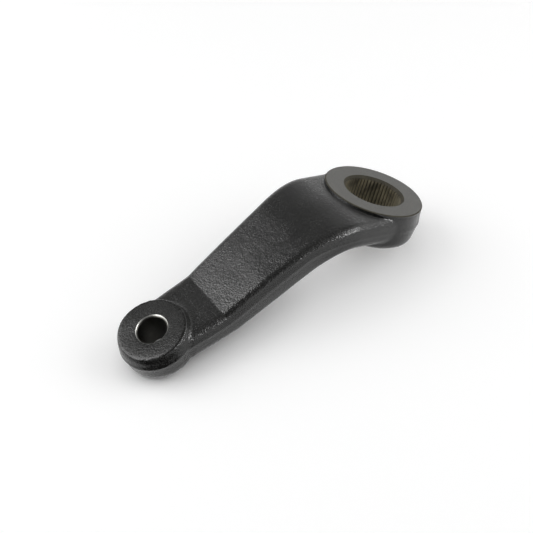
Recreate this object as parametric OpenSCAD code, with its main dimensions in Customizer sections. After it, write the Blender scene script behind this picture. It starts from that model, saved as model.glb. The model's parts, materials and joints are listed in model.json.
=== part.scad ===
// Pitman arm: a one-piece drop forging that turns a steering box's sector shaft into
// a push and pull on the steering linkage.
// The sector eye lies level with its machined face at z = 0 and its splined hole along Z.
// The shank bends down towards +X and ends in a tilted link eye with a tapered stud hole.

/* [Sector eye] */
// Diameter of the sector eye at the parting line
sector_d = 55.2; // [50:0.2:62]
// Height of the sector eye's machined face above the parting line
sector_above = 9.8; // [9:0.1:12]
// Depth of the sector eye below the parting line
sector_below = 12; // [11:0.1:16]
// Rounding of the sector eye's upper rim
sector_rim_r = 1.8; // [1:0.1:4]
// Rounding of the sector eye's lower rim
sector_base_r = 5.4; // [2:0.1:6]

/* [Spline] */
// Largest diameter of the spline, across the roots of its serrations
spline_d = 31.75; // [28:0.25:34]
// Number of serrations
serration_count = 52; // [36:1:56]
// Depth of a serration
serration_depth = 1; // [0.6:0.1:1.2]
// Lead-in chamfer at both ends of the spline
lead_in = 0.9; // [0.5:0.1:1.5]
// Width of the machined nut seat round the lower end of the spline
sector_seat_w = 4.2; // [3:0.1:6]

/* [Link eye] */
// Distance from the spline axis to the link eye's face centre, seen along the spline
reach = 131.5; // [120:0.5:160]
// Drop from the sector eye's face to the link eye's face centre
drop = 62.6; // [52:0.2:72]
// Tilt of the link eye's axis from the spline axis
eye_tilt = 38.3; // [30:0.1:42]
// Diameter of the link eye at the parting line
link_d = 37.6; // [35:0.2:46]
// Height of the link eye's face above the parting line
link_above = 7.2; // [6.8:0.1:9]
// Depth of the link eye below the parting line
link_below = 12; // [10:0.1:14]
// Rounding of the link eye's upper rim
link_rim_r = 3; // [2:0.1:6]
// Rounding of the link eye's lower rim
link_base_r = 5; // [2:0.1:6]

/* [Stud hole] */
// Diameter of the tapered stud hole at the link eye's face
stud_d = 15.2; // [12:0.1:18]
// Length of the taper over which its diameter shrinks by 1 mm
taper_run = 8; // [6:0.5:12]
// Chamfer at both mouths of the stud hole
stud_chamfer = 0.7; // [0.3:0.1:1.2]
// Width of the machined nut seat round the lower mouth of the stud hole
link_seat_w = 5.4; // [4:0.1:7]

/* [Shank] */
// Downward slope of the straight shank
shank_slope = 41.5; // [38:0.5:45]
// Downward slope of the neck beside the link eye
neck_slope = 28; // [22:0.5:32]
// Radius of the bend below the sector eye, along the parting line
upper_bend_r = 46; // [36:1:58]
// Radius of the bend above the neck, along the parting line
lower_bend_r = 18; // [16:1:40]
// Length of the straight neck up to the link eye's centre
neck_len = 35; // [26:1:42]
// How far each side of the shank lies inside the sector eye's at its root
root_inset = 0.8; // [0.4:0.1:3]
// How far the sector eye's upper face stands proud of the shank
sector_rise = 3.4; // [2:0.1:5]
// How far the sector eye's lower face stands proud of the shank
sector_sink = 5; // [2:0.1:6]
// Width of the shank below the upper bend
shank_w = 44.6; // [40:0.2:50]
// Height of the straight shank above the parting line
shank_above = 5.2; // [4.8:0.1:8]
// Depth of the straight shank below the parting line
shank_below = 12.4; // [8:0.1:14]
// Width of the shank at the top of the neck
neck_w = 37.8; // [34:0.2:42]
// How far each side of the neck lies inside the link eye's at its centre
tip_inset = 1.8; // [0.6:0.1:4]
// How far the link eye's upper face stands above the neck at the eye's centre
link_rise = 1.5; // [0.8:0.1:2]
// How far the link eye's lower face stands below the neck at the eye's centre
link_sink = 1.2; // [0.8:0.1:3]
// Rounding of the shank's upper edges
shank_rim_r = 4; // [2:0.1:4.5]
// Rounding of the shank's lower edges
shank_base_r = 4.6; // [2:0.1:6]

/* [Forging] */
// Draft of every side wall away from the parting line
draft = 7; // [3:0.5:8]
// Width of the trimmed flash ridge along the parting line
flash_w = 1.8; // [1:0.1:3]
// Height of the trimmed flash ridge
flash_h = 0.5; // [0.2:0.1:1]
// Radius of the fillets where the sector eye stands proud of the shank
sector_fillet_r = 1.4; // [1:0.1:4]
// Radius of the fillet where the link eye stands proud of the neck
link_fillet_r = 3; // [1.5:0.1:4]
// Depth to which the nut seats are machined into the forging
seat_depth = 0.5; // [0.2:0.1:1]

/* [Hidden] */
$fn = 96;

// How far a cutter runs past the face that it opens, and a nut seat's cutter clears below it
cut_over = 1;
seat_clear = 8;
// How far a fillet sinks into the faces that it joins, and stops inside the shank's edges
fillet_bite = 0.15;
fillet_inset = 0.5;
// Steps in each rounded corner of a section, and sections along the shank
corner_steps = 6;
section_count = 48;

// Widths, heights and depths of the shank where it meets the eyes
root_w = sector_d - 2 * root_inset;
root_above = sector_above - sector_rise;
root_below = sector_below - sector_sink;
tip_w = link_d - 2 * tip_inset;
neck_above = link_above - link_rise;
neck_below = link_below - link_sink;

// The parting line of the shank in the XZ plane: a level run, the upper bend, the straight
// shank, the lower bend and the neck. The level run and the straight shank take up what the
// other stretches leave of the reach and the drop.
end_x = reach - link_above * sin(eye_tilt);
end_z = -drop - link_above * cos(eye_tilt);
start_z = -sector_above;
lower_turn = shank_slope - neck_slope;
upper_arc = upper_bend_r * shank_slope * PI / 180;
lower_arc = lower_bend_r * lower_turn * PI / 180;
upper_fall = upper_bend_r * (1 - cos(shank_slope));
lower_fall = lower_bend_r * (cos(neck_slope) - cos(shank_slope));
neck_fall = neck_len * sin(neck_slope);
straight_fall = start_z - end_z - upper_fall - lower_fall - neck_fall;
straight_len = straight_fall / sin(shank_slope);
upper_run = upper_bend_r * sin(shank_slope);
straight_run = straight_len * cos(shank_slope);
lower_run = lower_bend_r * (sin(shank_slope) - sin(neck_slope));
neck_run = neck_len * cos(neck_slope);
level_len = end_x - upper_run - straight_run - lower_run - neck_run;

// Distances along the parting line at which each stretch ends
upper_start = level_len;
upper_end = upper_start + upper_arc;
lower_start = upper_end + straight_len;
lower_end = lower_start + lower_arc;
path_len = lower_end + neck_len;

// Downward slope, and place, of the parting line at distance s along it
function slope_at(s) =
    s < upper_start ? 0
    : s < upper_end ? shank_slope * (s - upper_start) / upper_arc
    : s < lower_start ? shank_slope
    : s < lower_end ? shank_slope - lower_turn * (s - lower_start) / lower_arc
    : neck_slope;
function x_at(s) =
    s < upper_start ? s
    : s < upper_end ? upper_start + upper_bend_r * sin(slope_at(s))
    : s < lower_start ? upper_start + upper_run + (s - upper_end) * cos(shank_slope)
    : s < lower_end ? end_x - neck_run - lower_bend_r * (sin(slope_at(s)) - sin(neck_slope))
    : end_x - (path_len - s) * cos(neck_slope);
function z_at(s) =
    s < upper_start ? start_z
    : s < upper_end ? start_z - upper_bend_r * (1 - cos(slope_at(s)))
    : s < lower_start ? start_z - upper_fall - (s - upper_end) * sin(shank_slope)
    : s < lower_end ? end_z + neck_fall + lower_bend_r * (cos(neck_slope) - cos(slope_at(s)))
    : end_z + (path_len - s) * sin(neck_slope);

// A size that runs through four named sections of the shank: the root, the end of the upper
// bend, the top of the neck and the link eye's centre. It eases out of the level run so that
// it reaches the straight taper without a kink.
function eased(from, to, end_slope, t) =
    from * (1 + 2 * t) * (1 - t) * (1 - t) + to * t * t * (3 - 2 * t) + end_slope * t * t * (t - 1);
function along(s, root, shank, neck, tip) =
    let (taper = (neck - shank) / (lower_end - upper_end))
        s < upper_start ? root
        : s < upper_end ? eased(root, shank, taper * upper_arc, (s - upper_start) / upper_arc)
        : s < lower_end ? shank + taper * (s - upper_end)
        : neck + (tip - neck) * (s - lower_end) / neck_len;

// Right half of a forged section, from its flat top round to its flat bottom: the walls lean
// in by the draft on both sides of the parting line and the corners are rounded
function corner_x(half_w, height, r) =
    half_w - (r + (height - r - flash_w / 2) * sin(draft)) / cos(draft);
function upper_corner(half_w, above, r) = [
    for (i = [0 : corner_steps])
        let (a = 90 - (90 - draft) * i / corner_steps)
            [corner_x(half_w, above, r) + r * cos(a), above - r + r * sin(a)]
];
function lower_corner(half_w, below, r) = [
    for (i = [0 : corner_steps])
        let (a = draft + (90 - draft) * i / corner_steps)
            [corner_x(half_w, below, r) + r * cos(a), -(below - r + r * sin(a))]
];
function flash_ridge(half_w) = [
    [half_w, flash_w / 2],
    [half_w + flash_h, 0],
    [half_w, -flash_w / 2]
];
function forged_half(half_w, above, below, rim_r, base_r) = concat(
    upper_corner(half_w, above, rim_r),
    flash_ridge(half_w),
    lower_corner(half_w, below, base_r)
);

// One section of the shank, closed round both sides and set square to the parting line
function shank_half(s) = forged_half(
    along(s, root_w, shank_w, neck_w, tip_w) / 2,
    along(s, root_above, shank_above, neck_above, neck_above),
    along(s, root_below, shank_below, neck_below, neck_below),
    shank_rim_r,
    shank_base_r
);
function mirrored(half) = [for (i = [len(half) - 1 : -1 : 0]) [-half[i][0], half[i][1]]];
function placed(s, p) = [
    x_at(s) + p[1] * sin(slope_at(s)),
    p[0],
    z_at(s) + p[1] * cos(slope_at(s))
];
function shank_ring(s) =
    let (half = shank_half(s))
        [for (p = concat(half, mirrored(half))) placed(s, p)];

// Walls between each ring and the next, with a cap on both ends
module loft(rings) {
    n = len(rings[0]);
    last = len(rings) - 1;
    walls = [
        for (k = [0 : last - 1], i = [0 : n - 1])
            let (j = (i + 1) % n)
                each [
                    [k * n + i, k * n + j, (k + 1) * n + j],
                    [k * n + i, (k + 1) * n + j, (k + 1) * n + i]
                ]
    ];
    near_cap = [for (i = [n - 1 : -1 : 0]) i];
    far_cap = [for (i = [0 : n - 1]) last * n + i];
    polyhedron([for (ring = rings) each ring], concat(walls, [near_cap, far_cap]));
}

module shank() {
    loft([for (k = [0 : section_count]) shank_ring(path_len * k / section_count)]);
}

// A round eye is the same forged section turned about its axis, with its face at height 0
module eye(d, above, below, rim_r, base_r) {
    half = forged_half(d / 2, above, below, rim_r, base_r);
    translate([0, 0, -above])
        rotate_extrude()
            polygon(concat([[0, above]], half, [[0, -below]]));
}

module sector_eye() {
    eye(sector_d, sector_above, sector_below, sector_rim_r, sector_base_r);
}

// Fillet round an eye that stands proud of the shank by step: an arc from the eye's rounded rim
// down to the shank's face, turned about the eye's axis with the eye's face at height 0
module fillet_skirt(d, height, rim_r, step, fillet_r) {
    rim_x = corner_x(d / 2, height, rim_r);
    reach_r = rim_r + fillet_r;
    rise = max(0, reach_r - step);
    arc_x = rim_x + sqrt(reach_r * reach_r - rise * rise) - fillet_bite;
    arc_z = fillet_r - step - fillet_bite;
    arc_start = 180 + asin(rise / reach_r);
    arc = [
        for (i = [0 : corner_steps])
            let (a = arc_start + (270 - arc_start) * i / corner_steps)
                [arc_x + fillet_r * cos(a), arc_z + fillet_r * sin(a)]
    ];
    core_x = rim_x - cut_over;
    core_z = -step - 2 * cut_over;
    rotate_extrude()
        polygon(concat(arc, [[arc_x, core_z], [core_x, core_z], [core_x, arc[0][1]]]));
}

// Keeps the part of a fillet that lies over the shank's flat face, on the +X side of the eye
module over_shank(d, height, half_w) {
    intersection() {
        children();
        translate([0, fillet_inset - half_w, -height])
            cube([d, 2 * (half_w - fillet_inset), height]);
    }
}

module sector_fillets() {
    depth = sector_above + sector_below;
    over_shank(sector_d, sector_above, corner_x(root_w / 2, root_above, shank_rim_r))
        fillet_skirt(sector_d, sector_above, sector_rim_r, sector_rise, sector_fillet_r);
    translate([0, 0, -depth])
        mirror([0, 0, 1])
            over_shank(sector_d, sector_below, corner_x(root_w / 2, root_below, shank_base_r))
                fillet_skirt(sector_d, sector_below, sector_base_r, sector_sink, sector_fillet_r);
}

// The link eye's own frame: origin at the centre of its face, Z along the stud
module at_link_eye() {
    translate([reach, 0, -drop])
        rotate([0, eye_tilt, 0])
            children();
}

module link_eye() {
    at_link_eye()
        eye(link_d, link_above, link_below, link_rim_r, link_base_r);
}

// The neck meets the link eye at an angle, so the eye stands highest on the shank's side
module link_fillet() {
    turn = eye_tilt - neck_slope;
    step = link_above - neck_above / cos(turn) + link_d / 2 * tan(turn);
    at_link_eye()
        rotate([0, 0, 180])
            over_shank(link_d, link_above + link_below, corner_x(tip_w / 2, neck_above, shank_rim_r))
                fillet_skirt(link_d, link_above, link_rim_r, step, link_fillet_r);
}

// Cutter for a flat nut seat under an eye
module nut_seat(depth, r) {
    translate([0, 0, seat_depth - depth - seat_clear])
        cylinder(h = seat_clear, r = r);
}

// Cutter for the splined hole: a ring of V-shaped serrations with a lead-in cone at each end
// and the nut seat below
module spline_hole() {
    depth = sector_above + sector_below;
    root_r = spline_d / 2;
    crest_r = root_r - serration_depth;
    mouth_r = root_r + lead_in;
    cone_h = mouth_r - crest_r;
    seat_z = seat_depth - depth;
    outline = [
        for (i = [0 : 2 * serration_count - 1])
            let (a = 180 * i / serration_count, r = i % 2 == 0 ? root_r : crest_r)
                [r * cos(a), r * sin(a)]
    ];
    translate([0, 0, -depth - cut_over])
        linear_extrude(depth + 2 * cut_over)
            polygon(outline);
    translate([0, 0, -cone_h - cut_over])
        cylinder(h = cone_h + 2 * cut_over, r1 = crest_r - cut_over, r2 = mouth_r + cut_over);
    translate([0, 0, seat_z - cut_over])
        cylinder(h = cone_h + 2 * cut_over, r1 = mouth_r + cut_over, r2 = crest_r - cut_over);
    nut_seat(depth, mouth_r + sector_seat_w);
}

// Cutter for the tapered stud hole, widest at the link eye's face, and the nut seat below
module stud_hole() {
    depth = link_above + link_below;
    wide_r = stud_d / 2;
    narrow_r = wide_r - depth / taper_run / 2;
    over_r = cut_over / taper_run / 2;
    chamfer_h = stud_chamfer + 2 * cut_over;
    translate([0, 0, -depth - cut_over])
        cylinder(h = depth + 2 * cut_over, r1 = narrow_r - over_r, r2 = wide_r + over_r);
    translate([0, 0, -stud_chamfer - cut_over])
        cylinder(h = chamfer_h, r1 = wide_r - cut_over, r2 = wide_r + stud_chamfer + cut_over);
    translate([0, 0, seat_depth - depth - cut_over])
        cylinder(h = chamfer_h, r1 = narrow_r + stud_chamfer + cut_over, r2 = narrow_r - cut_over);
    nut_seat(depth, narrow_r + stud_chamfer + link_seat_w);
}

module pitman_arm() {
    color("dimgray")
        difference() {
            union() {
                sector_eye();
                sector_fillets();
                shank();
                link_eye();
                link_fillet();
            }
            spline_hole();
            at_link_eye()
                stud_hole();
        }
}

pitman_arm();
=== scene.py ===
"""Pitman arm: a drop-forged steering arm, dressed around its packed solid.

The forging is the solid's own shape with its holes plugged, its inner corners rounded, its
shank's top raised a little by the sector eye and above the lower bend, and a pebbled forged skin.
The machined face, the splined hole and the tapered stud hole are then cut into it, so that their
edges stay crisp.
"""

import json
import math

import bmesh
import bpy
import numpy as np
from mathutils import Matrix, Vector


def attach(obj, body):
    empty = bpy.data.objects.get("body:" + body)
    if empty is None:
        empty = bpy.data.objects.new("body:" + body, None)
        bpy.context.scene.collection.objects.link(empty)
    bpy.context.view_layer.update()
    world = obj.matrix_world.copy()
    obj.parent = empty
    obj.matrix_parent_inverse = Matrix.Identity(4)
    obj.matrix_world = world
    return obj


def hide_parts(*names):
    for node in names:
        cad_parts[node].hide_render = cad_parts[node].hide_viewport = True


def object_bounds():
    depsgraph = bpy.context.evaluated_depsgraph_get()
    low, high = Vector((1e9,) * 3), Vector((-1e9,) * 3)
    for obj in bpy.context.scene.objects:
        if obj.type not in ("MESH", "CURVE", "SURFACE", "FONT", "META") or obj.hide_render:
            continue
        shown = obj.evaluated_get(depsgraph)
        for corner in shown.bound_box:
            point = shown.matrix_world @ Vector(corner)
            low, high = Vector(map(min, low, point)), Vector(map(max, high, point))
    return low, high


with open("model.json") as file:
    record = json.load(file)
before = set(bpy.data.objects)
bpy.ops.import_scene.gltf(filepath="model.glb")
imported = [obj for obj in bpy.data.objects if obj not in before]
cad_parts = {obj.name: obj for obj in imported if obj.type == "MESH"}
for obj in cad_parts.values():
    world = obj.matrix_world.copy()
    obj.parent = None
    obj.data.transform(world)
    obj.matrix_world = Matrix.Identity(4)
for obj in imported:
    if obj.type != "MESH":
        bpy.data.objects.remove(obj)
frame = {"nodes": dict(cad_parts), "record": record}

import openvdb
from bpy.props import FloatProperty, FloatVectorProperty, IntProperty, PointerProperty
from mathutils import Matrix, Vector

bl_info = {
    "name": "Pitman Arm",
    "version": (1, 0, 0),
    "blender": (4, 5, 0),
    "location": "3D View > Sidebar > Pitman Arm",
    "description": "Builds a forged pitman arm with its machined faces, spline and stud hole",
    "category": "Object",
}

NODE = "pitman_arm"
BODY = "root"
MM = 0.001
CORNERS = ((-1, -1), (1, -1), (1, 1), (-1, 1))

# Distance within which points are merged, and the turn past which an edge is shaded sharp
MERGE = 0.001 * MM
CREASE = math.radians(35)

# Where the skin grows along the arm, and where the link eye's pressed face ends outwards and downwards
SKIN_GROWS = (40 * MM, 100 * MM)
LINK_FACE_RIM = (16.5 * MM, 18 * MM)
LINK_FACE_DEPTH = (-2.5 * MM, -1.5 * MM)

# Heights between which the rise by the sector eye fades out down the shank's sides
EYE_RISE_FADE = (-16 * MM, -8 * MM)

# Middle of the lower bend on the arm's top, the slopes of the shank and the neck beside it, and the
# softness with which one runs into the other
LOWER_BEND = Vector((97.4 * MM, 0, -46 * MM))
SHANK_SLOPE = math.radians(40.9)
NECK_SLOPE = math.radians(28)
BEND_SOFTNESS = 3.4 * MM

# The rise at the lower bend: from edge to edge of the shank, how it swells down the shank and eases
# again round the bend, with the share that each reaches, and how it fades out down the sides
SHANK_EDGES = (-20 * MM, 20 * MM)
SWELL = (-65 * MM, -18 * MM)
SWELL_SHARE = 1.3
EASE = (-26 * MM, 20 * MM)
EASE_SHARE = 0.7
BEND_RISE_FADE = (-9 * MM, -3 * MM)

# Range of a noise that is stretched to run from 0 to 1, for the skin and for the grain
SKIN_NOISE = (0.3, 0.7)
GRAIN_NOISE = (0.28, 0.72)

CAD_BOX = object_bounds()
MOUNTS = {mount["name"]: mount for mount in frame["record"]["mounts"]}


def mount_frame(name):
    """Matrix of a mount: its place, with Z along its axis and Y kept level."""
    z = Vector(MOUNTS[name]["axis"]).normalized()
    y = Vector((0, 1, 0))
    turn = Matrix((y.cross(z), y, z)).transposed()
    return Matrix.Translation(MOUNTS[name]["pos_m"]) @ turn.to_4x4()


def seat_depth_below(mouth, seat):
    """Distance along the mouth's axis from the mouth mount down to the nut seat mount."""
    return -(mount_frame(mouth).inverted() @ Vector(MOUNTS[seat]["pos_m"])).z


class PITMANARM_PG_forging(bpy.types.PropertyGroup):
    """Sizes of the forged skin."""

    voxel: FloatProperty(
        name="Mesh Size", description="Edge length of the skin's mesh",
        default=0.58 * MM, unit="LENGTH")
    fillet: FloatProperty(
        name="Inner Radius", description="Radius of the forging's inner corners",
        default=1.0 * MM, unit="LENGTH")
    scale_depth: FloatProperty(
        name="Scale Depth", description="Layer added first, into which the skin's dips sink",
        default=0.22 * MM, unit="LENGTH")
    smoothing: IntProperty(
        name="Smoothing", description="Passes that even out the mesh before the skin is raised",
        default=2, min=0)
    pebble_size: FloatProperty(
        name="Pebble Size", description="Width of the pebbles in the forged skin",
        default=1.05 * MM, unit="LENGTH")
    pebble_depth: FloatProperty(
        name="Pebble Depth", description="Depth of the dips between the pebbles",
        default=0.075 * MM, unit="LENGTH")
    wave_size: FloatProperty(
        name="Wave Size", description="Width of the hammered unevenness",
        default=16 * MM, unit="LENGTH")
    wave_depth: FloatProperty(
        name="Wave Depth", description="Depth of the hammered unevenness",
        default=0.16 * MM, unit="LENGTH")
    eye_rise: FloatProperty(
        name="Eye Rise", description="How far the shank's top rises where it meets the sector eye",
        default=1.4 * MM, unit="LENGTH")
    rise_end: FloatProperty(
        name="Rise End", description="Distance from the spline's axis at which that rise ends",
        default=58 * MM, unit="LENGTH")
    bend_far: FloatProperty(
        name="Bend Far Rise", description="Rise of the shank's far edge at the lower bend",
        default=0.63 * MM, unit="LENGTH")
    bend_near: FloatProperty(
        name="Bend Near Rise", description="Rise of the shank's near edge at the lower bend",
        default=2.0 * MM, unit="LENGTH")
    upper_share: FloatProperty(
        name="Upper Share", description="Share of the skin's depth by the sector eye",
        default=0.8, subtype="FACTOR")
    lower_share: FloatProperty(
        name="Lower Share", description="Share of the skin's depth at the lower end of the shank",
        default=1.2, subtype="FACTOR")
    pressed_share: FloatProperty(
        name="Pressed Share", description="Share of it left on the link eye's pressed face",
        default=0.25, subtype="FACTOR")
    seed: FloatProperty(
        name="Seed", description="Picks the pattern of the skin", default=3.7)


class PITMANARM_PG_spline(bpy.types.PropertyGroup):
    """Sizes of the splined hole, its machined face and its nut seat."""

    root_d: FloatProperty(
        name="Root Diameter", description="Diameter across the roots of the serrations",
        default=31.75 * MM, unit="LENGTH")
    serrations: IntProperty(
        name="Serrations", description="Number of serrations", default=52, min=12)
    serration_depth: FloatProperty(
        name="Serration Depth", description="Depth of a serration", default=1 * MM, unit="LENGTH")
    lead_in: FloatProperty(
        name="Lead-in", description="Chamfer outside the roots at both ends",
        default=0.9 * MM, unit="LENGTH")
    seat_w: FloatProperty(
        name="Nut Seat Width", description="Width of the nut seat under the eye",
        default=4.2 * MM, unit="LENGTH")
    depth: FloatProperty(
        name="Depth", description="Distance from the machined face to the nut seat",
        default=seat_depth_below("spline_bore", "sector_nut_seat"), unit="LENGTH")
    face_d: FloatProperty(
        name="Face Diameter", description="Diameter of the machined face and of the step below it",
        default=53.8 * MM, unit="LENGTH")
    step: FloatProperty(
        name="Face Step", description="Height of the machined face above the shank",
        default=1.75 * MM, unit="LENGTH")
    rim: FloatProperty(
        name="Face Rim", description="Bevel round the machined face",
        default=0.5 * MM, unit="LENGTH")


class PITMANARM_PG_stud_hole(bpy.types.PropertyGroup):
    """Sizes of the tapered stud hole and its nut seat."""

    wide_d: FloatProperty(
        name="Wide Diameter", description="Diameter of the taper at the link eye's face",
        default=15.2 * MM, unit="LENGTH")
    taper_run: FloatProperty(
        name="Taper Run", description="Length over which the diameter shrinks by one millimetre",
        default=8 * MM, unit="LENGTH")
    chamfer: FloatProperty(
        name="Chamfer", description="Chamfer at both mouths", default=0.7 * MM, unit="LENGTH")
    bright_w: FloatProperty(
        name="Bright Edge", description="Part of the upper chamfer, at its edge, that is bare",
        default=0.3 * MM, unit="LENGTH")
    face_d: FloatProperty(
        name="Face Diameter", description="Diameter of the link eye's forged face",
        default=35.2 * MM, unit="LENGTH")
    seat_w: FloatProperty(
        name="Nut Seat Width", description="Width of the nut seat under the eye",
        default=5.4 * MM, unit="LENGTH")
    depth: FloatProperty(
        name="Depth", description="Distance from the link eye's face to the nut seat",
        default=seat_depth_below("stud_taper", "stud_nut_seat"), unit="LENGTH")


class PITMANARM_PG_finish(bpy.types.PropertyGroup):
    """Colours and gloss of the surfaces."""

    coat: FloatVectorProperty(
        name="Coat", description="Black coat of the forging", subtype="COLOR", size=4,
        default=(0.0105, 0.0105, 0.0098, 1), min=0, max=1)
    face: FloatVectorProperty(
        name="Machined Face", description="Thin dark coat of the machined faces", subtype="COLOR",
        size=4, default=(0.06, 0.0585, 0.0505, 1), min=0, max=1)
    bore: FloatVectorProperty(
        name="Oiled Steel", description="Oiled steel of the serrations", subtype="COLOR", size=4,
        default=(0.25, 0.222, 0.152, 1), min=0, max=1)
    bright: FloatVectorProperty(
        name="Bright Steel", description="Freshly cut steel of the chamfers", subtype="COLOR",
        size=4, default=(0.56, 0.56, 0.53, 1), min=0, max=1)
    # Reamed steel, made darker as painted shade inside the stud hole
    wall: FloatVectorProperty(
        name="Reamed Wall", description="Reamed steel of the stud hole", subtype="COLOR", size=4,
        default=(0.09, 0.088, 0.08, 1), min=0, max=1)
    coat_gloss: FloatProperty(
        name="Coat Gloss", description="Strength of the coat's reflections",
        default=0.5, subtype="FACTOR", min=0, max=1)
    pressed_gloss: FloatProperty(
        name="Pressed Gloss", description="Strength of them on the link eye's pressed face",
        default=0.28, subtype="FACTOR", min=0, max=1)


class PITMANARM_PG_stage(bpy.types.PropertyGroup):
    """Camera, lamps and floor."""

    camera: FloatVectorProperty(
        name="Camera", description="Place of the camera", subtype="TRANSLATION", unit="LENGTH",
        default=(0.5408, 0.4074, 0.2918))
    aim: FloatVectorProperty(
        name="Aim", description="Point that the camera looks at", subtype="TRANSLATION",
        unit="LENGTH", default=(0.0360, -0.0241, -0.0568))
    roll: FloatProperty(
        name="Roll", description="Turn of the camera about its line of sight",
        default=math.radians(-0.5), subtype="ANGLE")
    lens: FloatProperty(
        name="Focal Length", description="Focal length for a 36 mm wide picture", default=93.8)
    rest_tilt: FloatProperty(
        name="Rest Tilt", description="Tilt of the floor on which the arm lies, about Y",
        default=math.radians(21), subtype="ANGLE")
    floor_size: FloatProperty(
        name="Floor Size", description="Length of the floor's sides", default=6, unit="LENGTH")


# Geometry helpers

def add_object(name, mesh):
    """A new object at the origin that shows a mesh."""
    made = bpy.data.objects.new(name, mesh)
    bpy.context.scene.collection.objects.link(made)
    return made


def mesh_from(name, points, faces):
    """A mesh from points and faces."""
    mesh = bpy.data.meshes.new(name)
    mesh.from_pydata(points, [], faces)
    mesh.update()
    return mesh


def baked(source, name):
    """Replaces an object by a plain one that holds what its modifiers make."""
    depsgraph = bpy.context.evaluated_depsgraph_get()
    mesh = bpy.data.meshes.new_from_object(source.evaluated_get(depsgraph), depsgraph=depsgraph)
    mesh.name = name
    removed(source)
    return add_object(name, mesh)


def removed(source):
    """Deletes an object and its mesh."""
    mesh = source.data
    bpy.data.objects.remove(source)
    bpy.data.meshes.remove(mesh)


def boolean(piece, other, operation):
    """Joins another closed object to a piece or cuts it out, and deletes the other one."""
    step = piece.modifiers.new(operation.title(), "BOOLEAN")
    step.operation = operation
    step.solver = "MANIFOLD"
    step.object = other
    step.material_mode = "TRANSFER"
    made = baked(piece, piece.name)
    removed(other)
    if not made.data.polygons:
        raise RuntimeError(f"{operation} left nothing of {made.name}")
    return made


def lathe(name, profile, place, materials=(), segments=144):
    """A closed solid turned from (radius, height) points that start and end on the axis.

    Each stretch of the profile takes the material of its own place in the list.
    """
    lathed = bmesh.new()
    rings = []
    for radius, height in profile:
        if radius == 0:
            rings.append([lathed.verts.new(place @ Vector((0, 0, height)))] * segments)
            continue
        turns = [2 * math.pi * i / segments for i in range(segments)]
        rings.append([
            lathed.verts.new(place @ Vector((radius * math.cos(a), radius * math.sin(a), height)))
            for a in turns
        ])
    for index, (low, high) in enumerate(zip(rings, rings[1:])):
        for i in range(segments):
            j = (i + 1) % segments
            corners = list(dict.fromkeys((low[i], low[j], high[j], high[i])))
            lathed.faces.new(corners).material_index = index if materials else 0
    bmesh.ops.recalc_face_normals(lathed, faces=lathed.faces)
    mesh = bpy.data.meshes.new(name)
    lathed.to_mesh(mesh)
    lathed.free()
    for material in materials:
        mesh.materials.append(material)
    return add_object(name, mesh)


def outward(points, quads):
    """Quads turned so that their normals point out of the closed shape."""
    a, b, c, d = (points[quads[:, i]] for i in range(4))
    volume = np.einsum("ij,ij->i", a, np.cross(b, c)) + np.einsum("ij,ij->i", a, np.cross(c, d))
    return quads if volume.sum() > 0 else quads[:, ::-1]


# Node helpers

def feed(tree, socket, value):
    """Links a socket to another one, or sets its value."""
    if isinstance(value, bpy.types.NodeSocket):
        tree.links.new(value, socket)
    else:
        socket.default_value = value


def add_node(tree, kind, inputs=None, **settings):
    """A node with its settings, and its inputs by name or number."""
    made = tree.nodes.new(kind)
    for name, value in settings.items():
        setattr(made, name, value)
    for key, value in (inputs or {}).items():
        feed(tree, made.inputs[key], value)
    return made


def maths(tree, operation, *values):
    """Output of a maths node."""
    return add_node(tree, "ShaderNodeMath", dict(enumerate(values)), operation=operation).outputs[0]


def vector_maths(tree, operation, inputs):
    """Output of a vector maths node."""
    return add_node(tree, "ShaderNodeVectorMath", inputs, operation=operation).outputs[0]


def vector_value(tree, operation, *vectors):
    """Number that a vector maths node gives, such as a length or a dot product."""
    made = add_node(tree, "ShaderNodeVectorMath", dict(enumerate(vectors)), operation=operation)
    return made.outputs["Value"]


def blended(tree, factor, low, high):
    """Colour that runs from one colour to another with a factor."""
    mix = add_node(tree, "ShaderNodeMix", {"Factor": factor}, data_type="RGBA")
    for socket, value in zip([s for s in mix.inputs if s.type == "RGBA"], (low, high)):
        feed(tree, socket, value)
    return next(s for s in mix.outputs if s.type == "RGBA")


def mapped(tree, value, from_low, from_high, to_low, to_high, kind="LINEAR"):
    """Output of a map range node, held within its range."""
    limits = {"Value": value, "From Min": from_low, "From Max": from_high,
              "To Min": to_low, "To Max": to_high}
    made = add_node(tree, "ShaderNodeMapRange", limits, interpolation_type=kind)
    return made.outputs["Result"]


def geometry_tree(name, sockets):
    """A geometry node tree with named inputs, its input node and its output node."""
    tree = bpy.data.node_groups.new(name, "GeometryNodeTree")
    tree.interface.new_socket("Geometry", in_out="OUTPUT", socket_type="NodeSocketGeometry")
    tree.interface.new_socket("Geometry", in_out="INPUT", socket_type="NodeSocketGeometry")
    for label, kind in sockets:
        tree.interface.new_socket(label, in_out="INPUT", socket_type=kind)
    return tree, tree.nodes.new("NodeGroupInput"), tree.nodes.new("NodeGroupOutput")


def end_tree(tree, output, geometry, material, selection=True):
    """Closes a geometry node tree with realized instances and a material on the selected faces."""
    realized = add_node(tree, "GeometryNodeRealizeInstances", {"Geometry": geometry})
    finished = add_node(tree, "GeometryNodeSetMaterial", {
        "Geometry": realized.outputs[0], "Material": material, "Selection": selection})
    feed(tree, output.inputs["Geometry"], finished.outputs[0])


def through_tree(source, tree, values):
    """Runs an object through a geometry node tree with its named inputs set, and bakes it."""
    step = source.modifiers.new(tree.name, "NODES")
    step.node_group = tree
    for item in tree.interface.items_tree:
        if item.in_out == "INPUT" and item.name in values:
            step[item.identifier] = values[item.name]
    return baked(source, source.name)


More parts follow.
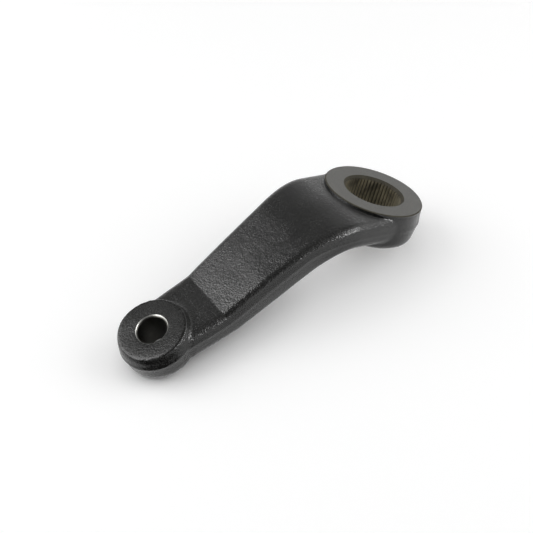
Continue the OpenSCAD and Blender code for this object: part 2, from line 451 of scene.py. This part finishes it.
def on_link_face(tree, place):
    """1 on the link eye's face, 0 off it."""
    eye = mount_frame("stud_taper")
    axis = eye.col[2].xyz
    away = vector_maths(tree, "SUBTRACT", {0: place, 1: eye.translation})
    height = vector_value(tree, "DOT_PRODUCT", away, axis)
    reach = vector_value(tree, "LENGTH", vector_maths(tree, "CROSS_PRODUCT", {0: away, 1: axis}))
    on_top = mapped(tree, height, *LINK_FACE_DEPTH, 0.0, 1.0)
    return maths(tree, "MULTIPLY", mapped(tree, reach, *LINK_FACE_RIM, 1.0, 0.0), on_top)


def skin_share(tree, place, forging):
    """Share of the skin's depth: it grows down the shank, and little is left on the link eye's face."""
    along = add_node(tree, "ShaderNodeSeparateXYZ", {0: place}).outputs["X"]
    grown = mapped(tree, along, *SKIN_GROWS, forging.upper_share, forging.lower_share)
    pressed = mapped(tree, on_link_face(tree, place), 0.0, 1.0, 1.0, forging.pressed_share)
    return maths(tree, "MULTIPLY", grown, pressed)


# Geometry node trees

def shank_rise(tree, start, position):
    """Upward offset of the shank's top, which grows towards the sector eye."""
    across = vector_maths(tree, "MULTIPLY", {0: position, 1: (1, 1, 0)})
    reach = vector_value(tree, "LENGTH", across)
    share = mapped(tree, reach, start.outputs["Eye Radius"], start.outputs["Rise End"], 1.0, 0.0)
    height = add_node(tree, "ShaderNodeSeparateXYZ", {0: position}).outputs["Z"]
    near_top = mapped(tree, height, *EYE_RISE_FADE, 0.0, 1.0)
    share = maths(tree, "MULTIPLY", share, near_top)
    rise = maths(tree, "MULTIPLY", share, start.outputs["Eye Rise"])
    return add_node(tree, "ShaderNodeCombineXYZ", {"Z": rise}).outputs[0]


def bend_rise(tree, start, position):
    """Offset that carries the shank's top on past the lower bend, further along its near edge."""
    down = (math.cos(SHANK_SLOPE), 0, -math.sin(SHANK_SLOPE))
    out = (math.sin(SHANK_SLOPE), 0, math.cos(SHANK_SLOPE))
    away = vector_maths(tree, "SUBTRACT", {0: position, 1: LOWER_BEND})
    along = vector_value(tree, "DOT_PRODUCT", away, down)
    height = vector_value(tree, "DOT_PRODUCT", away, out)
    side = add_node(tree, "ShaderNodeSeparateXYZ", {0: position}).outputs["Y"]
    edge = mapped(tree, side, *SHANK_EDGES, start.outputs["Bend Far Rise"],
                  start.outputs["Bend Near Rise"])
    swell = mapped(tree, along, *SWELL, 0.0, SWELL_SHARE, "SMOOTHSTEP")
    ease = mapped(tree, along, *EASE, 0.0, EASE_SHARE, "SMOOTHSTEP")
    shank = maths(tree, "MULTIPLY", edge, maths(tree, "SUBTRACT", swell, ease))
    past_bend = maths(tree, "SMOOTH_MAX", along, 0.0, BEND_SOFTNESS)
    neck = maths(tree, "MULTIPLY", past_bend, math.tan(SHANK_SLOPE - NECK_SLOPE))
    rise = maths(tree, "MAXIMUM", maths(tree, "SUBTRACT", shank, neck), 0.0)
    near_top = mapped(tree, height, *BEND_RISE_FADE, 0.0, 1.0)
    return vector_maths(tree, "SCALE", {0: out, "Scale": maths(tree, "MULTIPLY", rise, near_top)})


def skin_tree(forging):
    """Evens out the forging's mesh, raises the shank's top, and sinks waves and dips between pebbles."""
    numbers = ("Pebble Size", "Pebble Depth", "Wave Size", "Wave Depth", "Seed", "Eye Radius",
               "Eye Rise", "Rise End", "Bend Far Rise", "Bend Near Rise")
    tree, start, end = geometry_tree("Forged Skin", [
        ("Smoothing", "NodeSocketInt"), *[(label, "NodeSocketFloat") for label in numbers],
        ("Material", "NodeSocketMaterial"), ("Link Face Material", "NodeSocketMaterial")])
    position = add_node(tree, "GeometryNodeInputPosition").outputs[0]
    evened = add_node(
        tree, "GeometryNodeBlurAttribute", {"Iterations": start.outputs["Smoothing"]},
        data_type="FLOAT_VECTOR")
    feed(tree, next(s for s in evened.inputs if s.type == "VECTOR"), position)
    smooth = add_node(tree, "GeometryNodeSetPosition", {
        "Geometry": start.outputs["Geometry"],
        "Position": next(s for s in evened.outputs if s.type == "VECTOR" and s.enabled)})
    depths = []
    for size, depth in (("Pebble Size", "Pebble Depth"), ("Wave Size", "Wave Depth")):
        noise = add_node(tree, "ShaderNodeTexNoise", {
            "Vector": position, "W": start.outputs["Seed"], "Detail": 0.0,
            "Scale": maths(tree, "DIVIDE", 1.0, start.outputs[size])}, noise_dimensions="4D")
        dip = mapped(tree, noise.outputs[0], *SKIN_NOISE, 1.0, 0.0)
        depths.append(maths(tree, "MULTIPLY", dip, start.outputs[depth]))
    depths[0] = maths(tree, "MULTIPLY", depths[0], skin_share(tree, position, forging))
    normal = add_node(tree, "GeometryNodeInputNormal").outputs[0]
    fall = maths(tree, "MULTIPLY", maths(tree, "ADD", *depths), -1.0)
    sunk = vector_maths(tree, "SCALE", {0: normal, "Scale": fall})
    moved = vector_maths(tree, "ADD", {0: sunk, 1: shank_rise(tree, start, position)})
    moved = vector_maths(tree, "ADD", {0: moved, 1: bend_rise(tree, start, position)})
    raised = add_node(tree, "GeometryNodeSetPosition", {
        "Geometry": smooth.outputs[0], "Offset": moved})
    coated = add_node(tree, "GeometryNodeSetMaterial", {
        "Geometry": raised.outputs[0], "Material": start.outputs["Material"]})
    on_face = maths(tree, "GREATER_THAN", on_link_face(tree, position), 0.5)
    end_tree(tree, end, coated.outputs[0], start.outputs["Link Face Material"], on_face)
    return tree


def spline_tree():
    """A prism with V-shaped serrations all round, from a circle whose every other point is sunk."""
    tree, start, end = geometry_tree("Spline Cutter", [
        ("Serrations", "NodeSocketInt"), ("Root Radius", "NodeSocketFloat"),
        ("Serration Depth", "NodeSocketFloat"), ("Bottom", "NodeSocketFloat"),
        ("Height", "NodeSocketFloat"), ("Material", "NodeSocketMaterial")])
    circle = add_node(tree, "GeometryNodeMeshCircle", {
        "Vertices": maths(tree, "MULTIPLY", start.outputs["Serrations"], 2.0),
        "Radius": start.outputs["Root Radius"]}, fill_type="NGON")
    odd = maths(tree, "MODULO", add_node(tree, "GeometryNodeInputIndex").outputs[0], 2.0)
    position = add_node(tree, "GeometryNodeInputPosition").outputs[0]
    outwards = vector_maths(tree, "NORMALIZE", {0: position})
    sunk = maths(tree, "MULTIPLY", maths(tree, "MULTIPLY", odd, -1.0), start.outputs["Serration Depth"])
    inward = vector_maths(tree, "SCALE", {0: outwards, "Scale": sunk})
    star = add_node(tree, "GeometryNodeSetPosition", {"Geometry": circle.outputs[0], "Offset": inward})
    lowered = add_node(tree, "GeometryNodeTransform", {"Geometry": star.outputs[0]})
    offset = add_node(tree, "ShaderNodeCombineXYZ", {"Z": start.outputs["Bottom"]})
    feed(tree, lowered.inputs["Translation"], offset.outputs[0])
    pulled = add_node(tree, "GeometryNodeExtrudeMesh", {
        "Mesh": lowered.outputs[0], "Offset Scale": start.outputs["Height"]}, mode="FACES")
    floor = add_node(tree, "GeometryNodeFlipFaces", {"Mesh": lowered.outputs[0]})
    joined = add_node(tree, "GeometryNodeJoinGeometry", {"Geometry": pulled.outputs["Mesh"]})
    tree.links.new(floor.outputs[0], joined.inputs[0])
    closed = add_node(tree, "GeometryNodeMergeByDistance", {
        "Geometry": joined.outputs[0], "Distance": MERGE})
    end_tree(tree, end, closed.outputs[0], start.outputs["Material"])
    return tree


# Materials

def grain_group():
    """Shared grain: a fine speckle and a coarse cloud, each from 0 to 1, at two named sizes."""
    tree = bpy.data.node_groups.new("Surface Grain", "ShaderNodeTree")
    for label, default in (("Speckle Size", 1 * MM), ("Cloud Size", 12 * MM)):
        socket = tree.interface.new_socket(label, in_out="INPUT", socket_type="NodeSocketFloat")
        socket.default_value = default
    for label in ("Speckle", "Cloud"):
        tree.interface.new_socket(label, in_out="OUTPUT", socket_type="NodeSocketFloat")
    start = tree.nodes.new("NodeGroupInput")
    end = tree.nodes.new("NodeGroupOutput")
    place = add_node(tree, "ShaderNodeTexCoord").outputs["Object"]
    details = {"Speckle": 0.5, "Cloud": 4.0}
    for label, detail in details.items():
        noise = add_node(tree, "ShaderNodeTexNoise", {
            "Vector": place, "Detail": detail, "Roughness": 0.55,
            "Scale": maths(tree, "DIVIDE", 1.0, start.outputs[label + " Size"])})
        feed(tree, end.inputs[label], mapped(tree, noise.outputs[0], *GRAIN_NOISE, 0.0, 1.0))
    return tree


def new_material(name):
    """An empty material, its tree and its principled shader."""
    material = bpy.data.materials.new(name)
    material.use_nodes = True
    tree = material.node_tree
    return material, tree, tree.nodes["Principled BSDF"]


def add_grain(tree, speckle_size, cloud_size):
    """The shared grain group placed in a material."""
    grain = bpy.data.node_groups.get("Surface Grain") or grain_group()
    return add_node(tree, "ShaderNodeGroup", {"Speckle Size": speckle_size, "Cloud Size": cloud_size},
                    node_tree=grain)


def shade(colour, share):
    """A colour made darker or lighter by a share."""
    return (*[min(1.0, channel * share) for channel in colour[:3]], 1)


def toned(tree, factor, colour, low, high):
    """A colour whose share runs from low to high with a factor."""
    return blended(tree, factor, shade(colour, low), shade(colour, high))


def speckled(tree, grain, colour, dips, low, high):
    """A colour that is dark in the speckle's dips, a painted shade, and cloudy between them."""
    cloudy = toned(tree, grain.outputs["Cloud"], colour, low, high)
    return blended(tree, grain.outputs["Speckle"], shade(colour, dips), cloudy)


def bump(tree, height, distance):
    """Normal from a bump node."""
    made = add_node(tree, "ShaderNodeBump", {"Height": height, "Distance": distance, "Strength": 1.0})
    return made.outputs["Normal"]


def coat_material(name, finish, forging, gloss):
    """Black coat over the pebbled forging."""
    material, tree, shader = new_material(name)
    shader.inputs["Specular IOR Level"].default_value = gloss
    grain = add_grain(tree, speckle_size=0.66 * MM, cloud_size=14 * MM)
    # Painted shade in the speckle's dips, where the bump below sinks
    colour = speckled(tree, grain, finish.coat, dips=0.3, low=1.2, high=2.4)
    feed(tree, shader.inputs["Base Color"], colour)
    smoothest, roughest = 0.16, 0.22
    roughness = mapped(tree, grain.outputs["Cloud"], 0.0, 1.0, smoothest, roughest)
    feed(tree, shader.inputs["Roughness"], roughness)
    place = add_node(tree, "ShaderNodeTexCoord").outputs["Object"]
    height = maths(tree, "MULTIPLY", grain.outputs["Speckle"], skin_share(tree, place, forging))
    feed(tree, shader.inputs["Normal"], bump(tree, height, distance=0.09 * MM))
    return material


def face_material(finish):
    """Thin dull coat on a machined face, speckled like fine sandpaper."""
    material, tree, shader = new_material("machined_face")
    grain = add_grain(tree, speckle_size=0.7 * MM, cloud_size=9 * MM)
    # Painted shade in the speckle's dips, where the bump below sinks
    colour = speckled(tree, grain, finish.face, dips=0.6, low=1.0, high=1.6)
    feed(tree, shader.inputs["Base Color"], colour)
    shader.inputs["Roughness"].default_value = 0.42
    feed(tree, shader.inputs["Normal"], bump(tree, grain.outputs["Speckle"], distance=0.05 * MM))
    return material


def steel_material(name, colour, speckle_size, depth):
    """Bare cut steel with a fine grain."""
    material, tree, shader = new_material(name)
    grain = add_grain(tree, speckle_size, cloud_size=6 * MM)
    cloudy = toned(tree, grain.outputs["Cloud"], colour, low=0.75, high=1.2)
    feed(tree, shader.inputs["Base Color"], cloudy)
    shader.inputs["Metallic"].default_value = 1.0
    shader.inputs["Roughness"].default_value = 0.35
    feed(tree, shader.inputs["Normal"], bump(tree, grain.outputs["Speckle"], depth))
    return material


def bore_material(finish, spline):
    """Oiled steel of the serrations, darkest in their roots: painted shade in the hollows."""
    material, tree, shader = new_material("oiled_steel")
    place = add_node(tree, "ShaderNodeTexCoord").outputs["Object"]
    radius = vector_value(tree, "LENGTH", vector_maths(tree, "MULTIPLY", {0: place, 1: (1, 1, 0)}))
    root_r = spline.root_d / 2
    # Share of painted shade, which grows towards the serrations' roots
    sunk = mapped(tree, radius, root_r - spline.serration_depth / 2, root_r, 0.0, 1.0)
    grain = add_grain(tree, speckle_size=0.6 * MM, cloud_size=7 * MM)
    crest = toned(tree, grain.outputs["Cloud"], finish.bore, low=0.35, high=1.3)
    # Colour of the painted shade in the roots
    root = shade(finish.bore, share=0.12)
    feed(tree, shader.inputs["Base Color"], blended(tree, sunk, crest, root))
    shader.inputs["Metallic"].default_value = 0.3
    shader.inputs["Roughness"].default_value = 0.45
    feed(tree, shader.inputs["Normal"], bump(tree, grain.outputs["Speckle"], distance=0.03 * MM))
    return material


def shade_film_material(finish):
    """Dull dark film on the spline's lead-ins and round the machined face, as painted shade."""
    material, tree, shader = new_material("shade_film")
    grain = add_grain(tree, speckle_size=0.6 * MM, cloud_size=6 * MM)
    # Painted shade: a small share of the oiled steel's colour
    colour = toned(tree, grain.outputs["Cloud"], finish.bore, low=0.14, high=0.24)
    feed(tree, shader.inputs["Base Color"], colour)
    shader.inputs["Roughness"].default_value = 0.7
    shader.inputs["Specular IOR Level"].default_value = 0.15
    return material


# The forging

def plugged_solid(spline, stud):
    """A merged copy of the packed solid with its holes filled."""
    merged = bmesh.new()
    merged.from_mesh(frame["nodes"][NODE].data)
    bmesh.ops.remove_doubles(merged, verts=merged.verts, dist=MERGE)
    mesh = bpy.data.meshes.new("forging")
    merged.to_mesh(mesh)
    merged.free()
    solid = add_object("forging", mesh)
    margin = 1 * MM
    sunk = 0.02 * MM
    rim_h = 4 * MM
    plug_r = spline.root_d / 2 + spline.lead_in + margin
    sector_plug = lathe("sector_plug", [
        (0, -spline.depth), (plug_r, -spline.depth), (plug_r, -sunk), (0, -sunk)], Matrix())
    solid = boolean(solid, sector_plug, "UNION")
    plug_r = stud.wide_d / 2 + stud.chamfer + margin
    face_r = stud.face_d / 2
    stud_plug = lathe("stud_plug", [
        (0, -stud.depth), (plug_r, -stud.depth), (plug_r, -rim_h), (face_r, -rim_h), (face_r, -sunk),
        (0, -sunk)], mount_frame("stud_taper"))
    return boolean(solid, stud_plug, "UNION")


def rounded(solid, forging):
    """The solid's surface as even quads, with its inner corners rounded by a rolling ball."""
    mesh = solid.data
    mesh.calc_loop_triangles()
    points = np.array([v.co for v in mesh.vertices], np.float32) / MM
    triangles = np.array([t.vertices for t in mesh.loop_triangles], np.uint32)
    voxel = forging.voxel / MM
    radius = forging.fillet / MM
    scale = openvdb.createLinearTransform(voxelSize=voxel)
    spare_voxels = 3
    band = radius / voxel + spare_voxels
    grid = openvdb.FloatGrid.createLevelSetFromPolygons(
        points, triangles=triangles, transform=scale, halfWidth=band)
    points, quads = grid.convertToQuads(isovalue=radius)
    quads = outward(points, quads)
    grid = openvdb.FloatGrid.createLevelSetFromPolygons(
        points, quads=quads.astype(np.uint32), transform=scale, halfWidth=band)
    points, quads = grid.convertToQuads(isovalue=forging.scale_depth / MM - radius)
    quads = outward(points, quads)
    removed(solid)
    return add_object("forging", mesh_from("forging", (points * MM).tolist(), quads.tolist()))


def cut_spline(piece, spline, materials):
    """Cuts the machined face, the serrations, both lead-ins and the nut seat of the sector eye."""
    clear = 6 * MM
    over = 1 * MM
    root_r = spline.root_d / 2
    mouth_r = root_r + spline.lead_in
    crest_r = root_r - spline.serration_depth
    cone_h = mouth_r - crest_r
    core_r = crest_r - over
    slab_r = 40 * MM
    coat, face, steel, film = (materials[name] for name in ("coat", "face", "bore", "film"))
    face_r = spline.face_d / 2
    piece = boolean(piece, lathe("face_cutter", [
        (0, -spline.step), (slab_r, -spline.step), (slab_r, clear), (0, clear)],
        Matrix(), [coat] * 3), "DIFFERENCE")
    # The face's rim bevel takes the dark film, a painted shade line round the machined face
    piece = boolean(piece, lathe("face_disc", [
        (0, -clear), (face_r, -clear), (face_r, -spline.rim), (face_r - spline.rim, 0), (0, 0)],
        Matrix(), [face, coat, film, face]), "UNION")
    seat_r = mouth_r + spline.seat_w
    # The lead-ins take the dark film, painted shade in the splined hole's mouths
    piece = boolean(piece, lathe("spline_mouths", [
        (0, -spline.depth - clear), (seat_r, -spline.depth - clear), (seat_r, -spline.depth),
        (mouth_r, -spline.depth), (core_r, -spline.depth + cone_h + over),
        (core_r, -cone_h - over), (mouth_r + over, over), (0, over)],
        Matrix(), [face, face, face, film, steel, film, film]), "DIFFERENCE")
    blank = add_object("spline_cutter", bpy.data.meshes.new("spline_cutter"))
    cutter = through_tree(blank, spline_tree(), {
        "Serrations": spline.serrations, "Root Radius": root_r,
        "Serration Depth": spline.serration_depth, "Bottom": -spline.depth - over,
        "Height": spline.depth + 2 * over, "Material": steel})
    return boolean(piece, cutter, "DIFFERENCE")


def cut_stud_hole(piece, stud, materials):
    """Cuts the taper, both chamfers and the nut seat of the link eye."""
    clear = 8 * MM
    over = 1 * MM
    wide_r = stud.wide_d / 2
    slope = MM / stud.taper_run / 2
    narrow_r = wide_r - stud.depth * slope
    seat_r = narrow_r + stud.chamfer + stud.seat_w
    face, bright, wall = materials["face"], materials["bright"], materials["wall"]
    # The stud hole's wall, its lower chamfer and the upper chamfer's inner part take the reamed steel,
    # darkened as painted shade
    return boolean(piece, lathe("stud_cutter", [
        (0, -stud.depth - clear), (seat_r, -stud.depth - clear), (seat_r, -stud.depth),
        (narrow_r + stud.chamfer, -stud.depth), (narrow_r, -stud.depth + stud.chamfer),
        (wide_r - stud.chamfer * slope, -stud.chamfer),
        (wide_r + stud.chamfer - stud.bright_w, -stud.bright_w),
        (wide_r + stud.chamfer + over, over), (0, over)],
        mount_frame("stud_taper"), [face, face, face, wall, wall, wall, bright, bright]), "DIFFERENCE")


def shade_edges(piece, coats):
    """Smooth shading with sharp edges round each surface and where it turns a corner.

    The coats count as one surface.
    """
    piece.data.polygons.foreach_set("use_smooth", [True] * len(piece.data.polygons))
    surfaces = ["coat" if kind in coats else kind.name for kind in piece.data.materials]
    dressed = bmesh.new()
    dressed.from_mesh(piece.data)
    for edge in dressed.edges:
        sides = {surfaces[face.material_index] for face in edge.link_faces}
        turned = edge.calc_face_angle(0) > CREASE
        edge.smooth = len(sides) == 1 and not turned
    dressed.to_mesh(piece.data)
    dressed.free()


class PITMANARM_OT_forging(bpy.types.Operator):
    """Build the forged arm with its skin, machined faces, spline and stud hole"""

    bl_idname = "pitman_arm.forging"
    bl_label = "Forged Arm"

    def execute(self, context):
        settings = context.scene
        forging, spline = settings.pitman_forging, settings.pitman_spline
        stud, finish = settings.pitman_stud_hole, settings.pitman_finish
        materials = {
            "coat": coat_material("black_forged_coat", finish, forging, finish.coat_gloss),
            "pressed": coat_material("pressed_coat", finish, forging, finish.pressed_gloss),
            "face": face_material(finish),
            "bore": bore_material(finish, spline),
            "film": shade_film_material(finish),
            "bright": steel_material(
                "bright_steel", finish.bright, speckle_size=0.3 * MM, depth=0.01 * MM),
            # Reamed steel, darkened as painted shade inside the hole
            "wall": steel_material(
                "shaded_reamed_steel", finish.wall, speckle_size=0.4 * MM, depth=0.02 * MM),
        }
        piece = rounded(plugged_solid(spline, stud), forging)
        piece = through_tree(piece, skin_tree(forging), {
            "Smoothing": forging.smoothing, "Pebble Size": forging.pebble_size,
            "Pebble Depth": forging.pebble_depth, "Wave Size": forging.wave_size,
            "Wave Depth": forging.wave_depth, "Seed": forging.seed,
            "Eye Radius": spline.face_d / 2, "Eye Rise": forging.eye_rise,
            "Rise End": forging.rise_end, "Bend Far Rise": forging.bend_far,
            "Bend Near Rise": forging.bend_near, "Material": materials["coat"],
            "Link Face Material": materials["pressed"]})
        piece = cut_spline(piece, spline, materials)
        piece = cut_stud_hole(piece, stud, materials)
        piece.name = "forged_arm"
        shade_edges(piece, (materials["coat"], materials["pressed"]))
        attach(piece, BODY)
        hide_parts(NODE)
        return {"FINISHED"}


# The stage

# Width of the picture in millimetres, for the focal length, and the nearest distance that is shown
PICTURE_W = 36
CLIP_START = 0.01

# Shares of white: the floor's own, and the world's light on the arm
FLOOR_TONE = 0.8
WORLD_GLOW = 0.45

# The floor's glow towards white is painted light: by the arm it grows with how open the floor is
# within a reach, which paints shade where the arm closes it in, and further off it grows with the
# distance from the sector eye's machined face
OPEN_REACH = 0.03
OPEN_RANGE = (0.2, 0.8)
OPEN_LIFT = 0.3
FAR_RANGE = (0.3, 0.9)
FAR_LIFT = 0.7

# Gap between the floor and the cards that lie on it
CARD_GAP = 0.2 * MM

# Name, azimuth and elevation in degrees, distance, width and height, and brightness
SOFTBOXES = (
    ("left_softbox", -92, 42, 1.0, (0.9, 0.86), 1.9),
    ("right_softbox", 92, 32, 1.1, (1.0, 0.9), 1.9),
)
CARDS = (
    ("left_card", -96, 42, 1.0, (1.0, 0.86), 1.4),
    ("left_core", -90, 42, 0.97, (0.92, 0.8), 6.6),
    ("link_flag", -112.5, 51, 0.36, (0.054, 0.1), 0.4),
    ("right_card", 100, 32, 1.1, (0.9, 0.9), 1.5),
    ("right_strip", 71, 16, 1.05, (0.24, 0.14), 30.0),
    ("rim_strip", 92, 36, 1.05, (0.2, 0.12), 25.0),
    ("left_strip", -55, 12, 1.0, (0.5, 0.36), 3.6),
    ("back_card", 186, 58, 1.4, (2.0, 1.13), 0.36),
    ("low_back_card", 186, 27, 1.4, (2.0, 0.5), 0.62),
    ("top_card", 0, 84, 1.2, (1.3, 1.3), 0.3),
    ("front_card", 0, 35, 1.3, (1.8, 1.6), 0.1),
)
# Name, reach towards the camera and towards the picture's right from the spline axis, and brightness
FLOOR_CARDS = (
    ("bounce_card", (-0.1, 0.111), (-0.088, 0.04), 0.66),
    ("right_bounce_card", (-0.1, 0.111), (0.04, 0.2), 1.05),
    ("eye_bounce_card", (0.098, 0.111), (-0.17, -0.088), 0.75),
    ("floor_flag", (0.113, 0.26), (-0.19, -0.055), 0.03),
)


def floor_normal(stage):
    """Upward normal of the floor on which the arm lies."""
    return Vector((math.sin(stage.rest_tilt), 0, math.cos(stage.rest_tilt)))


def facing(back, up):
    """Rotation whose Z points along back and whose Y lies as near as it can to up."""
    z = back.normalized()
    x = up.cross(z).normalized()
    return Matrix((x, z.cross(x), z)).transposed()


def add_camera(stage):
    """The camera at the photograph's viewing angle."""
    data = bpy.data.cameras.new("camera")
    data.lens = stage.lens
    data.sensor_width = PICTURE_W
    data.clip_start = CLIP_START
    camera = bpy.data.objects.new("camera", data)
    bpy.context.scene.collection.objects.link(camera)
    place = Vector(stage.camera)
    turn = facing(place - Vector(stage.aim), floor_normal(stage)) @ Matrix.Rotation(stage.roll, 3, "Z")
    camera.matrix_world = Matrix.Translation(place) @ turn.to_4x4()
    bpy.context.scene.camera = camera


def floor_axes(stage):
    """Directions on the floor: towards the camera, towards the picture's right, and up."""
    up = floor_normal(stage)
    front = Vector(stage.camera) - Vector(stage.aim)
    front = (front - up * front.dot(up)).normalized()
    return front, up.cross(front), up


def floor_height(up):
    """Height along the floor's normal of the lowest point of the arm."""
    return min(up.dot(v.co) for v in frame["nodes"][NODE].data.vertices)


def studio_place(stage, azimuth, elevation, distance):
    """Matrix of a lamp or card that faces the arm.

    The azimuth is 0 on the camera's side of the floor and grows towards the picture's right.
    """
    front, side, up = floor_axes(stage)
    centre = (CAD_BOX[0] + CAD_BOX[1]) / 2
    level = front * math.cos(azimuth) + side * math.sin(azimuth)
    direction = level * math.cos(elevation) + up * math.sin(elevation)
    turn = facing(direction, up)
    return Matrix.Translation(centre + direction * distance) @ turn.to_4x4()


def add_softbox(name, place, size, radiance):
    """A rectangular lamp with an even glow, which a card of its own shows in the gloss."""
    data = bpy.data.lights.new(name, "AREA")
    data.shape = "RECTANGLE"
    data.size, data.size_y = size
    data.energy = radiance * math.pi * size[0] * size[1]
    lamp = bpy.data.objects.new(name, data)
    bpy.context.scene.collection.objects.link(lamp)
    lamp.matrix_world = place
    lamp.visible_glossy = False


def standing_card(stage, azimuth, elevation, distance, size):
    """Corners of a card that faces the arm."""
    place = studio_place(stage, math.radians(azimuth), math.radians(elevation), distance)
    return [place @ Vector((size[0] / 2 * x, size[1] / 2 * y, 0)) for x, y in CORNERS]


def lying_card(stage, fronts, sides):
    """Corners of a card that lies on the floor."""
    front, side, up = floor_axes(stage)
    lift = floor_height(up) + CARD_GAP
    turns = ((0, 0), (0, 1), (1, 1), (1, 0))
    return [front * fronts[i] + side * sides[j] + up * lift for i, j in turns]


def add_card(name, corners, tone):
    """A card of an even tone that shows only in the arm's gloss."""
    card = add_object(name, mesh_from(name, [tuple(c) for c in corners], [(0, 1, 2, 3)]))
    material, tree, shader = new_material(name)
    shader.inputs["Base Color"].default_value = (0, 0, 0, 1)
    shader.inputs["Specular IOR Level"].default_value = 0.0
    shader.inputs["Emission Color"].default_value = (tone, tone, tone, 1)
    shader.inputs["Emission Strength"].default_value = 1.0
    card.data.materials.append(material)
    card.visible_camera = False
    card.visible_diffuse = False
    card.visible_shadow = False
    card.visible_transmission = False


def shown_ray(tree):
    """1 for rays that show the background: from the camera, mirrored or passed through."""
    path = add_node(tree, "ShaderNodeLightPath").outputs
    mirrored = maths(tree, "MAXIMUM", path["Is Glossy Ray"], path["Is Transmission Ray"])
    return maths(tree, "MAXIMUM", path["Is Camera Ray"], mirrored)


def light_world():
    """A white background with a softer light from all round."""
    world = bpy.data.worlds.new("studio")
    bpy.context.scene.world = world
    world.use_nodes = True
    tree = world.node_tree
    background = tree.nodes["Background"]
    background.inputs["Color"].default_value = (1, 1, 1, 1)
    feed(tree, background.inputs["Strength"], mapped(tree, shown_ray(tree), 0, 1, WORLD_GLOW, 1.0))


def add_floor(stage):
    """A pale floor under the arm as it lies, which keeps its soft shadow."""
    up = floor_normal(stage)
    half = stage.floor_size / 2
    turn = facing(up, Vector((0, 1, 0)))
    middle = Vector((sum(corner.x for corner in CAD_BOX) / 2, 0, 0))
    middle += up * (floor_height(up) - up.dot(middle))
    corners = [middle + turn @ Vector((half * x, half * y, 0)) for x, y in CORNERS]
    floor = add_object("floor", mesh_from("floor", [tuple(c) for c in corners], [(0, 1, 2, 3)]))
    material, tree, shader = new_material("pale_floor")
    shader.inputs["Base Color"].default_value = (FLOOR_TONE, FLOOR_TONE, FLOOR_TONE, 1)
    shader.inputs["Roughness"].default_value = 0.9
    shader.inputs["Specular IOR Level"].default_value = 0.0
    shader.inputs["Emission Color"].default_value = (1, 1, 1, 1)
    # Painted glow, dimmed by ambient occlusion into a painted contact shade by the arm
    open_floor = add_node(tree, "ShaderNodeAmbientOcclusion", {"Distance": OPEN_REACH}).outputs["AO"]
    away = vector_value(tree, "LENGTH", add_node(tree, "ShaderNodeTexCoord").outputs["Object"])
    near_lift = mapped(tree, open_floor, *OPEN_RANGE, 0.0, OPEN_LIFT)
    far_lift = mapped(tree, away, *FAR_RANGE, 0.0, FAR_LIFT)
    lift = maths(tree, "MULTIPLY", maths(tree, "ADD", near_lift, far_lift), shown_ray(tree))
    feed(tree, shader.inputs["Emission Strength"], lift)
    clear = tree.nodes.new("ShaderNodeBsdfTransparent")
    back = add_node(tree, "ShaderNodeNewGeometry").outputs["Backfacing"]
    mix = add_node(tree, "ShaderNodeMixShader", {0: back, 1: shader.outputs[0], 2: clear.outputs[0]})
    feed(tree, tree.nodes["Material Output"].inputs["Surface"], mix.outputs[0])
    floor.data.materials.append(material)


class PITMANARM_OT_stage(bpy.types.Operator):
    """Set up the camera, the lamps and the floor"""

    bl_idname = "pitman_arm.stage"
    bl_label = "Stage"

    def execute(self, context):
        stage = context.scene.pitman_stage
        context.scene.view_settings.view_transform = "Standard"
        add_camera(stage)
        light_world()
        add_floor(stage)
        for name, azimuth, elevation, distance, size, radiance in SOFTBOXES:
            place = studio_place(stage, math.radians(azimuth), math.radians(elevation), distance)
            add_softbox(name, place, size, radiance)
        for name, azimuth, elevation, distance, size, tone in CARDS:
            add_card(name, standing_card(stage, azimuth, elevation, distance, size), tone)
        for name, fronts, sides, tone in FLOOR_CARDS:
            add_card(name, lying_card(stage, fronts, sides), tone)
        return {"FINISHED"}


class PITMANARM_PT_sidebar(bpy.types.Panel):
    """The arm's settings and the operators that build it"""

    bl_label = "Pitman Arm"
    bl_idname = "PITMANARM_PT_sidebar"
    bl_space_type = "VIEW_3D"
    bl_region_type = "UI"
    bl_category = "Pitman Arm"

    def draw(self, context):
        for name, kind in GROUPS.items():
            box = self.layout.box()
            box.label(text=kind.__doc__)
            group = getattr(context.scene, name)
            for prop in kind.__annotations__:
                box.prop(group, prop)
        for operator in (PITMANARM_OT_forging, PITMANARM_OT_stage):
            self.layout.operator(operator.bl_idname)


GROUPS = {
    "pitman_forging": PITMANARM_PG_forging,
    "pitman_spline": PITMANARM_PG_spline,
    "pitman_stud_hole": PITMANARM_PG_stud_hole,
    "pitman_finish": PITMANARM_PG_finish,
    "pitman_stage": PITMANARM_PG_stage,
}
CLASSES = (*GROUPS.values(), PITMANARM_OT_forging, PITMANARM_OT_stage, PITMANARM_PT_sidebar)


def register():
    """Registers the classes and hangs the settings on the scene."""
    for kind in CLASSES:
        bpy.utils.register_class(kind)
    for name, kind in GROUPS.items():
        setattr(bpy.types.Scene, name, PointerProperty(type=kind))


def unregister():
    """Takes the settings and the classes away again."""
    for name in GROUPS:
        delattr(bpy.types.Scene, name)
    for kind in reversed(CLASSES):
        bpy.utils.unregister_class(kind)


def main():
    """Builds the arm and its stage."""
    register()
    bpy.ops.pitman_arm.stage()
    bpy.ops.pitman_arm.forging()


if __name__ == "__main__":
    main()
